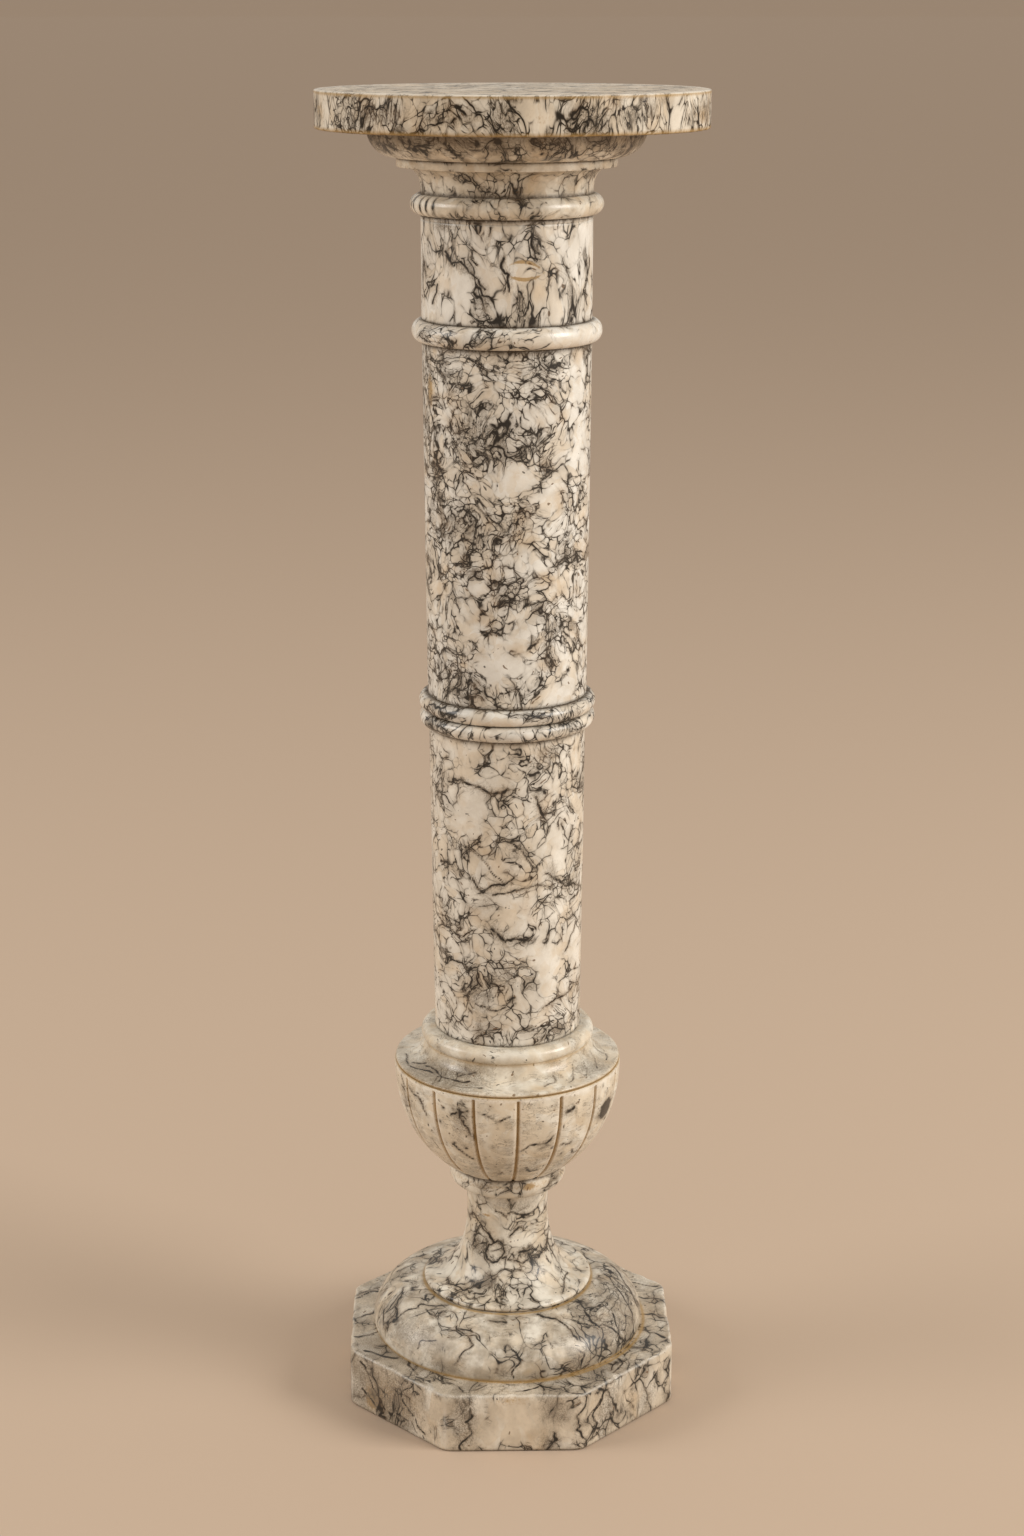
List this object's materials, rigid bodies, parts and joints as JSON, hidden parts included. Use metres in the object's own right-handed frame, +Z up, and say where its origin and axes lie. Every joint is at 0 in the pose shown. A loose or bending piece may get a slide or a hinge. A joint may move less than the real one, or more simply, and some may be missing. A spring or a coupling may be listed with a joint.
{
  "type": "marble pedestal",
  "caption": "Turned marble pedestal: round top slab on a slim banded column over a gadrooned knop, waisted foot, torus and octagonal plinth, for displaying a bust or vase.",
  "frame": {"origin": "the middle of the plinth's underside, on the floor", "axes": "+Z up along the column, the front of the octagonal plinth facing -Y, +X to the right of someone facing the front"},
  "size_m": [0.3011, 0.301, 1.082],
  "materials": {
    "pale_marble": "polished pale marble with fine grey veins",
    "cream_marble": "polished cream marble with sparse veins and ochre stains",
    "veined_marble": "polished marble with a dense grey and black vein network"
  },
  "bodies": {
    "root": {"plinth": "cream_marble", "base_torus": "pale_marble", "foot": "pale_marble", "gadrooned_knop": "cream_marble", "shoulder": "pale_marble", "lower_shaft": "pale_marble", "double_ring": "pale_marble", "upper_shaft": "veined_marble", "neck_ring": "pale_marble", "neck_drum": "pale_marble", "capital": "veined_marble", "top_slab": "veined_marble"}
  },
  "joints": []
}
